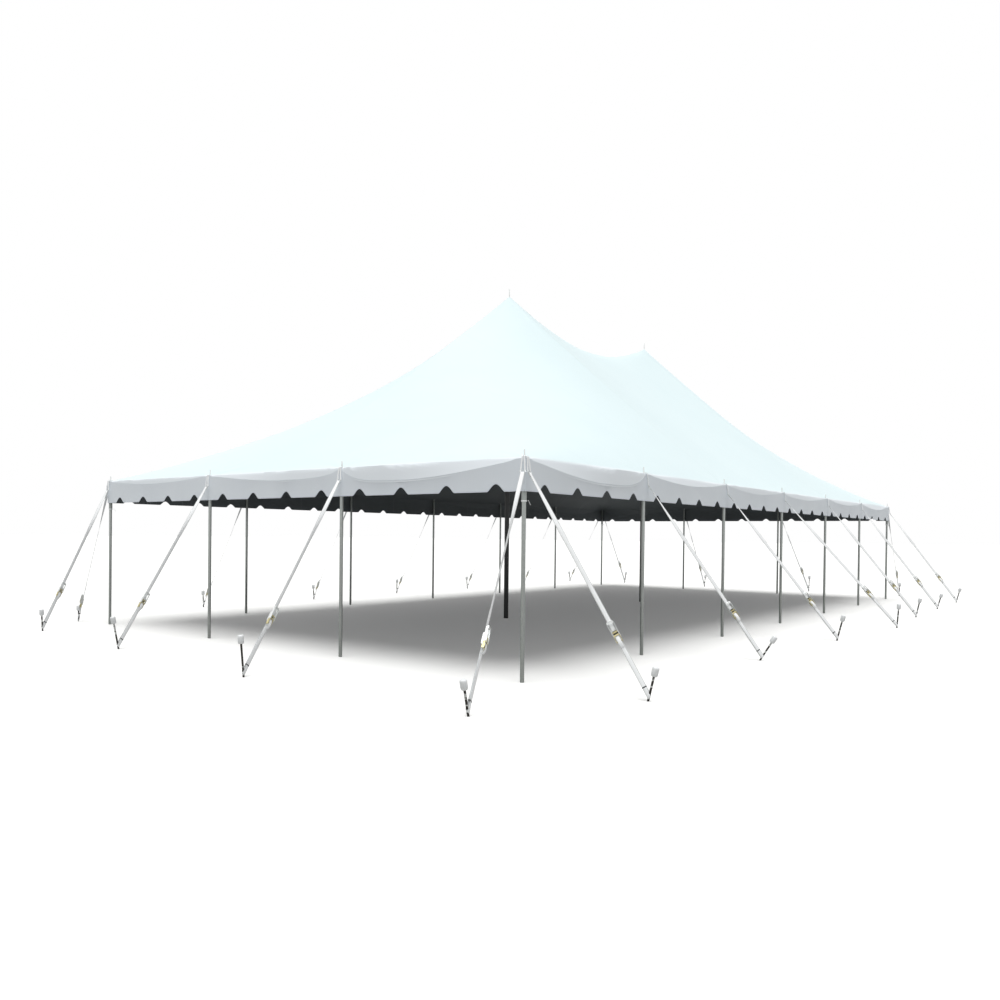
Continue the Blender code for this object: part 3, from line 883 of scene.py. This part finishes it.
# The sleeve of webbing on each corner pole, tied off with a band whose end stands out.
def makeCornerTies():
    sleeve = beginShape(
        "tieSleeve",
        bpy.ops.mesh.primitive_cylinder_add,
        vertices=28,
        radius=cornerTie["radius"],
        depth=cornerTie["top"] - cornerTie["bottom"],
        end_fill_type="NOTHING",
        location=(0.0, 0.0, (cornerTie["top"] + cornerTie["bottom"]) / 2),
    )
    pickFaces(sleeve, lambda face: True)
    bpy.ops.mesh.subdivide(number_cuts=3)
    endShape(sleeve, wornWebbing, 60.0)
    applyModifier(sleeve, "SOLIDIFY", thickness=0.0025, offset=-1.0)
    shape = bmesh.new()
    up = Vector((0.0, 0.0, 1.0))
    east, north = Vector((1.0, 0.0, 0.0)), Vector((0.0, 1.0, 0.0))
    middle = up * (cornerTie["bottom"] + cornerTie["band"] / 2)
    around = arcAround(middle, east, north, cornerTie["radius"] + 0.0016, 0, 352, 30)
    addWebbing(shape, around, up, cornerTie["band"], 0.0024)
    start = around[0] + up * 0.006
    tail = [start + east * out + up * rise for out, rise in cornerTie["tail"]]
    addWebbing(shape, tail, north, cornerTie["tailWide"], 0.003)
    bmesh.ops.recalc_face_normals(shape, faces=shape.faces)
    tie = meshPiece("tiePattern", shape, [webbing])
    smoothRound(tie, 30.0)
    for x, sideX in ((-halfLong, "Left"), (halfLong, "Right")):
        for y, sideY in ((-halfShort, "Front"), (halfShort, "Back")):
            turn = Matrix.Translation((x, y, 0.0)) @ Matrix.Rotation(math.radians(-25.0), 4, "Z")
            name = "cornerTie" + sideY + sideX
            parts = [copyTo(sleeve, "sleeve", turn), copyTo(tie, "tie", turn)]
            place(joinPieces(name, parts), "webbing")
    dropPattern(sleeve)
    dropPattern(tie)


galvanised = galvanisedTube()
zincPlate = brightZinc()
blackCoat = blackPowderCoat()
webbing = polyesterWebbing()
wornWebbing = greyWebbing()
makePoles()
makeCornerTies()
print("poles made")


# Guys: a sling on the pin, webbing with a ratchet, and a leaning stake with its cap.

guy = {
    "lift": 0.02,
    "strandLift": 0.006,
    "cornerLift": 0.0065,  # the second sling at a corner lies on the first
    "pinLoop": 0.0155,  # from the pin's middle to that of the webbing round it
    "strand": 0.019,
    "strandThick": 0.008,  # webbing rolled on itself
    "turnOut": 0.05,
    "turnHalf": 0.0125,
    "hookOut": 0.072,
    "hookDrop": 0.2,
    "hookHalf": 0.026,
    "width": 0.05,
    "ply": 0.0026,
    "sewnLong": 0.13,
    "twistFrom": 0.08,
    "twistTo": 0.9,
    "ratchetAt": {"front": 0.74, "back": 0.86, "left": 0.74, "right": 0.74},  # share of the guy's length
    "footUp": 0.055,
    "loopLong": 0.11,  # where the strap's two plies part, before the stake
    "loopTurn": 0.7,  # how far its width turns to the rod's own direction
    "parted": 0.0095,  # from the strap's middle to each ply of its lower part
    "stitchLong": 0.004,
    "cuffLong": 0.013,
}
slackLoop = ((0.03, 0.016), (0.06, 0.032), (0.1, 0.041), (0.14, 0.038), (0.165, 0.026), (0.168, 0.015), (0.15, 0.0105),
             (0.11, 0.009))  # of the strap's loose end: along the strap from the ratchet, and off its face
twistOf = {"front": 64.0, "back": -64.0, "left": -88.0, "right": 88.0}  # degrees that a side's straps turn
stake = {
    "radius": 0.0125,
    "capLong": 0.105,
    "capRadius": 0.037,
    "capFoot": 0.031,
    "reach": 0.33,
    "above": 0.18,
    "below": 0.52,
}
ring = {"half": 0.033, "tall": 0.0185, "wire": 0.005}
ratchet = {
    "wide": 0.062,
    "plate": 0.003,
    "upperBar": -0.035,
    "spindleAt": 0.042,
    "spindle": 0.008,
    "roll": 0.015,
    "bar": 0.005,
    "teeth": 13,
    "standOff": 0.018,
}


# The place of one guy's stake, from the solids: where its rod meets the ground, its lean and its height.
def stakeOf(node):
    points = {tuple(round(c, 4) for c in vert.co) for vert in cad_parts[node].data.vertices}
    points = [Vector(point) for point in points]
    feet = [point for point in points if point.z < 0.001]
    base = sum(feet, Vector()) / len(feet)
    cap = [p for p in points if stake["above"] < p.z < stake["below"] and (p - base).xy.length < stake["reach"]]
    tilt = (sum(cap, Vector()) / len(cap) - base).normalized()
    return base, tilt, min((point - base).dot(tilt) for point in cap)


# The straight line of a guy, from the ring under its pin to its stake, with the directions across it.
def guyLine(side, number):
    outward = Vector(outwards[side])
    along = bay * number
    if side in ("front", "back"):
        spot = Vector((along - halfLong, outward.y * halfShort, 0.0))
    else:
        spot = Vector((outward.x * halfLong, along - halfShort, 0.0))
    corner = side in ("left", "right") and number in (0, 3)
    up = Vector((0.0, 0.0, canopy["eave"] + (guy["cornerLift"] if corner else 0.0)))
    pin = spot + up + Vector((0.0, 0.0, guy["strandLift"]))
    base, tilt, stands = stakeOf(f"guy_{side}_{number}")
    run = Vector((base.x - spot.x, base.y - spot.y, 0.0)).normalized()
    across = Vector((-run.y, run.x, 0.0))
    hook = spot + up + run * guy["hookOut"] + Vector((0.0, 0.0, guy["lift"] - guy["hookDrop"]))
    foot = base + tilt * (guy["footUp"] / tilt.z)
    line = (foot - hook).normalized()
    long = (foot - hook).length
    onEdge = line.cross(across).normalized()
    turn = math.radians(twistOf[side])
    lower = across * math.cos(turn) + onEdge * math.sin(turn)
    return {
        "pin": pin,
        "base": base,
        "tilt": tilt,
        "stands": stands,
        "run": run,
        "across": across,
        "turn": pin + run * guy["turnOut"],
        "hook": hook,
        "foot": foot,
        "line": line,
        "onEdge": onEdge,
        "turned": turn,
        "ratchetAt": long * guy["ratchetAt"][side],
        "lower": lower,
        "face": line.cross(lower),
        "long": long,
    }


# The width's direction of a strap at a distance from its ring: it turns on its way down.
def wideAt(g, down):
    share = min(max((down - guy["twistFrom"]) / (guy["twistTo"] - guy["twistFrom"]), 0.0), 1.0)
    turn = g["turned"] * share
    turned = g["across"] * math.cos(turn) + g["onEdge"] * math.sin(turn)
    share = min(max(1.0 - (g["long"] - down) / guy["loopLong"], 0.0), 1.0) * guy["loopTurn"]
    rodWay = g["tilt"] * math.copysign(1.0, g["tilt"].dot(g["lower"]))
    return turned.lerp(rodWay, share).normalized()


# A stretch of webbing along a guy, from one distance to another, lifted off its middle by offsets.
def alongGuy(g, fromDown, toDown, fromLift, toLift, steps):
    path, ways = [], []
    for i in range(steps + 1):
        down = fromDown + (toDown - fromDown) * i / steps
        wide = wideAt(g, down)
        lift = fromLift + (toLift - fromLift) * i / steps
        path.append(g["hook"] + g["line"] * down + g["line"].cross(wide).normalized() * lift)
        ways.append(wide)
    return path, ways


def roundBar(path, ways, centre, start, other, radius, fromTurn, toTurn, steps):
    arc = arcAround(centre, start, other, radius, fromTurn, toTurn, steps)
    return path + arc, ways + [ways[-1]] * len(arc)


def addSling(shape, g):
    down = Vector((0.0, 0.0, -1.0))
    run, across, pin = g["run"], g["across"], g["pin"]
    path, ways = [], []
    for side in (-1, 1):
        end = g["hook"] + across * (side * guy["hookHalf"]) - g["line"] * (ring["tall"] - ring["wire"] * 2)
        over = g["turn"] + across * (side * guy["turnHalf"])
        half = [(end, across), (end.lerp(over, 0.5) + run * 0.002, across), (over + down * 0.03, across)]
        half += [(over + down * 0.008 - run * 0.0015, across), (over + down * 0.0015 - run * 0.008, across)]
        half += [(pin.lerp(over, 0.5), across), (pin + across * (side * guy["pinLoop"]) + run * 0.004, across)]
        back = arcAround(pin, across * side, -run, guy["pinLoop"], 20, 80, 4)
        half += [(spot, (spot - pin).normalized() * side) for spot in back]
        path += [spot for spot, way in (half if side < 0 else reversed(half))]
        ways += [way for spot, way in (half if side < 0 else reversed(half))]
    addWebbing(shape, path, ways, guy["strand"], guy["strandThick"])


def makeStrap(name, node, g):
    shape = bmesh.new()
    addSling(shape, g)
    ply, line, face, long = guy["ply"], g["line"], g["face"], g["long"]
    lift = 0.5 * ply + ring["wire"]
    low = ring["tall"] - ring["wire"]
    upperFace = line.cross(g["across"]).normalized()
    path, ways = alongGuy(g, low + guy["sewnLong"], low + 0.03, -ply * 0.55, -lift, 8)
    path, ways = roundBar(path, ways, g["hook"] + line * low, -upperFace, -line, lift, 15, 165, 5)
    ratchetAt = g["ratchetAt"]
    barAt = ratchetAt + ratchet["upperBar"]
    more, moreWays = alongGuy(g, low + 0.03, barAt - 0.05, lift * 0.6, ply * 0.55, 46)
    path, ways = path + more, ways + moreWays
    more, moreWays = alongGuy(g, barAt - 0.03, barAt, ratchet["bar"] + ply * 0.5, ratchet["bar"] + ply * 0.5, 2)
    path, ways = path + more, ways + moreWays
    path, ways = roundBar(path, ways, g["hook"] + line * barAt, face, line, ratchet["bar"] + ply * 0.5, 15, 165, 5)
    more, moreWays = alongGuy(g, barAt - 0.04, barAt - 0.3, -ply * 0.6, -ply * 0.6, 8)
    addWebbing(shape, path + more, ways + moreWays, guy["width"], ply)
    start = ratchetAt + ratchet["spindleAt"]
    grip = 0.5 * ply + stake["radius"] + 0.0008
    path, ways = alongGuy(g, start, long - guy["loopLong"], ratchet["roll"] * 0.7, guy["parted"], 14)
    more, moreWays = alongGuy(g, long - guy["loopLong"] * 0.9, long, guy["parted"], grip, 8)
    path, ways = path + more, ways + moreWays
    endFace = line.cross(ways[-1]).normalized()
    path, ways = roundBar(path, ways, g["foot"], endFace, line, grip, 15, 165, 8)
    more, moreWays = alongGuy(g, long, long - guy["loopLong"] * 0.9, -grip, -guy["parted"], 8)
    path, ways = path + more, ways + moreWays
    more, moreWays = alongGuy(g, long - guy["loopLong"], start + 0.05, -guy["parted"], -ply, 10)
    addWebbing(shape, path + more, ways + moreWays, guy["width"], ply)
    for seam in (low + guy["sewnLong"] - 0.012, low + 0.045):
        path, ways = alongGuy(g, seam, seam + guy["stitchLong"], 0.0, 0.0, 1)
        addWebbing(shape, path, ways, guy["width"] * 0.94, 2.35 * ply, 1)
    # Painted shade: a dark band round both plies where the foot loop parts.
    path, ways = alongGuy(g, long - guy["loopLong"], long - guy["loopLong"] + guy["cuffLong"], 0.0, 0.0, 1)
    addWebbing(shape, path, ways, guy["width"] * 1.04, 2 * guy["parted"] + 2 * ply, 1)
    tail = [g["hook"] + line * (ratchetAt + down) + face * off for down, off in slackLoop]
    addWebbing(shape, tail, g["lower"], guy["width"] * 0.9, ply)
    bmesh.ops.recalc_face_normals(shape, faces=shape.faces)
    piece = meshPiece(name, shape, [webbing, thread])
    smoothRound(piece, 30.0)
    place(piece, "webbing", node)
    return piece


def bar(name, length, radius, spot, material, sides=16):
    piece = beginShape(
        name,
        bpy.ops.mesh.primitive_cylinder_add,
        vertices=sides,
        radius=radius,
        depth=length,
        location=spot,
        rotation=(math.pi / 2, 0.0, 0.0),
    )
    pickEdges(piece, lambda edge: abs(edge.verts[0].co.z - edge.verts[1].co.z) < 1e-5)
    bpy.ops.mesh.bevel(offset=min(0.001, radius * 0.3), segments=1)
    return endShape(piece, material)


def roundedPlate(name, size, spot, turn, material):
    plate = beginShape(name, bpy.ops.mesh.primitive_cube_add, size=1.0, location=spot)
    bpy.ops.transform.resize(value=size)
    thin = size.index(min(size))
    pickEdges(plate, lambda edge: abs(edge.verts[0].co[thin] - edge.verts[1].co[thin]) > size[thin] * 0.5)
    bpy.ops.mesh.bevel(offset=sorted(size)[1] * 0.36, segments=4)
    bpy.ops.mesh.select_all(action="SELECT")
    if turn:
        bpy.ops.transform.rotate(value=turn, orient_axis="Y", center_override=spot)
    return endShape(plate, material)


def gearWheel(name, spot, material):
    wheel = beginShape(
        name,
        bpy.ops.mesh.primitive_cylinder_add,
        vertices=ratchet["teeth"] * 2,
        radius=ratchet["roll"],
        depth=0.0035,
        location=spot,
        rotation=(math.pi / 2, 0.0, 0.0),
    )
    pickFaces(wheel, lambda face: abs(face.normal.z) < 0.5 and face.index % 2 == 0)
    bpy.ops.mesh.extrude_faces_move(TRANSFORM_OT_shrink_fatten={"value": 0.004})
    bpy.ops.transform.resize(value=(0.96, 0.96, 0.96))
    return endShape(wheel, material)


# The ratchet at the origin: x along the strap towards the stake, y across it, z off its face.
# Its frame and spindle are at the lower end, and its long handle lies folded up along the strap.
def ratchetPattern():
    half = ratchet["wide"] / 2
    off, plate, spindleAt = ratchet["standOff"], ratchet["plate"], ratchet["spindleAt"]
    inner, outer = half + plate, half + 2.2 * plate
    parts = []
    for sign in (-1, 1):
        parts.append(roundedPlate("framePlate", (0.13, plate, 0.028), (0.008, sign * half, 0.002), 0.0, zincPlate))
        spot = (-0.045, sign * outer, off + 0.007)
        parts.append(roundedPlate("handlePlate", (0.17, plate, 0.024), spot, math.radians(4), zincPlate))
        spot = (spindleAt + 0.03, sign * inner, off)
        parts.append(roundedPlate("lowerPlate", (0.095, plate, 0.03), spot, 0.0, goldPlate))
        parts.append(gearWheel("gearWheel", (spindleAt, sign * (half - 0.004), off * 0.5), goldPlate))
    parts.append(bar("spindle", ratchet["wide"] + 0.02, ratchet["spindle"], (spindleAt, 0, off * 0.5), zincPlate))
    parts.append(bar("upperBar", ratchet["wide"] + 0.008, ratchet["bar"], (ratchet["upperBar"], 0, 0), zincPlate))
    parts.append(bar("woundWebbing", 0.046, ratchet["roll"], (spindleAt, 0, off * 0.5), webbing, 28))
    parts.append(roundedPlate("handleEnd", (0.022, 0.07, 0.0035), (-0.122, 0, off + 0.015), math.radians(4), zincPlate))
    parts.append(bar("gripRoll", 0.07, 0.0065, (-0.134, 0, off + 0.013), zincPlate))
    # Painted shade: a dark steel plate behind the frame, so its open middle looks dark as in shade.
    parts.append(roundedPlate("frameBack", (0.075, 0.058, 0.003), (0.004, 0, -0.008), 0.0, stakeSteel))
    parts.append(roundedPlate("pawl", (0.018, 0.06, 0.004), (-0.008, 0, off + 0.012), math.radians(-12), goldPlate))
    parts.append(roundedPlate("release", (0.016, 0.06, 0.004), (0.026, 0, off + 0.01), math.radians(10), goldPlate))
    parts.append(bar("lowerBar", ratchet["wide"] + 0.01, 0.006, (0.098, 0, off + 0.004), goldPlate))
    return joinPieces("ratchetPattern", parts)


# The ring at the sling's end: an oval of zinc-plated wire, long across the strap.
def ringPattern():
    shape = beginShape(
        "ringPattern",
        bpy.ops.mesh.primitive_torus_add,
        major_radius=ring["half"],
        minor_radius=ring["wire"],
        major_segments=32,
        minor_segments=10,
    )
    bpy.ops.mesh.select_all(action="DESELECT")
    bpy.ops.mesh.select_mode(type="VERT")
    body = bmesh.from_edit_mesh(shape.data)
    for sign in (-1, 1):
        for vert in body.verts:
            vert.select_set(vert.co.x * sign > 0.0)
        bmesh.update_edit_mesh(shape.data)
        inward = sign * (ring["tall"] - ring["half"])
        bpy.ops.transform.translate(value=(inward * 0.35, 0.0, 0.0))
    bpy.ops.mesh.select_all(action="SELECT")
    squeeze = ring["tall"] / (ring["tall"] * 0.35 + ring["half"] * 0.65)
    bpy.ops.transform.resize(value=(squeeze, 1.0, 1.0))
    return endShape(shape, zincPlate)


# A stake of unit length at the origin, to be drawn out to each stake's own height.
def rodPattern():
    rod = beginShape(
        "rodPattern",
        bpy.ops.mesh.primitive_cylinder_add,
        vertices=20,
        radius=stake["radius"],
        depth=1.0,
        location=(0.0, 0.0, 0.5),
    )
    bpy.ops.mesh.subdivide(number_cuts=1)
    return endShape(rod, stakeSteel)


# The cap at the origin, from its foot up: it widens to its shoulder and is domed on top.
def capPattern():
    long, wide = stake["capLong"], stake["capRadius"]
    cap = beginShape(
        "capPattern",
        bpy.ops.mesh.primitive_cone_add,
        vertices=36,
        radius1=stake["capFoot"],
        radius2=wide,
        depth=long * 0.22,
        location=(0.0, 0.0, long * 0.11),
    )
    pickFaces(cap, lambda face: face.normal.z > 0.9)
    extrudeBy((0.0, 0.0, long * 0.6))
    for rise, shrink in ((0.09, 0.92), (0.06, 0.78), (0.03, 0.5)):
        extrudeBy((0.0, 0.0, long * rise))
        bpy.ops.transform.resize(value=(shrink, shrink, 1.0))
    pickFaces(cap, lambda face: face.normal.z < -0.9)
    bpy.ops.mesh.inset(thickness=0.006)
    extrudeBy((0.0, 0.0, 0.012))
    pickEdges(cap, lambda edge: edge.calc_face_angle(0.0) > 1.0)
    bpy.ops.mesh.bevel(offset=0.002, segments=2)
    return endShape(cap, capPlastic, 50.0)


def makeStake(name, node, g, rodShape, capShape):
    square = g["tilt"].cross(g["across"]).normalized()
    side = square.cross(g["tilt"])
    drawn = Matrix.Diagonal((1.0, 1.0, g["stands"] + 0.02, 1.0))
    rod = copyTo(rodShape, "rod", columnsAt(side, square, g["tilt"], g["base"]) @ drawn)
    for vert in rod.data.vertices:
        if (vert.co - g["base"]).length < stake["radius"] * 2:
            vert.co -= g["tilt"] * (vert.co.z / g["tilt"].z)
    spot = g["base"] + g["tilt"] * g["stands"]
    cap = copyTo(capShape, "cap", columnsAt(side, square, g["tilt"], spot))
    place(joinPieces(name, [rod, cap]), "black_steel", node)


def columnsAt(x, y, z, spot):
    return Matrix.Translation(spot) @ Matrix((x, y, z)).transposed().to_4x4()


def makeGuys():
    ratchetShape = ratchetPattern()
    ringShape = ringPattern()
    rodShape = rodPattern()
    capShape = capPattern()
    for side in outwards:
        for number in range(7 if side in ("front", "back") else 4):
            g = guyLine(side, number)
            node = f"guy_{side}_{number}"
            ending = side.title() + str(number)
            makeStrap("strap" + ending, node, g)
            spot = g["hook"] + g["line"] * g["ratchetAt"]
            made = copyTo(ratchetShape, "ratchet" + ending, columnsAt(g["line"], g["lower"], g["face"], spot))
            face = g["line"].cross(g["across"])
            hook = copyTo(ringShape, "ring", columnsAt(g["line"], g["across"], face, g["hook"]))
            place(joinPieces("fittings" + ending, [made, hook]), "galvanised_steel", node)
            makeStake("stake" + ending, node, g, rodShape, capShape)
    for pattern in (ratchetShape, ringShape, rodShape, capShape):
        dropPattern(pattern)


thread = bondedThread()
goldPlate = yellowZinc()
stakeSteel = forgedSteel()
capPlastic = mouldedPlastic()
makeGuys()
print("guys made")
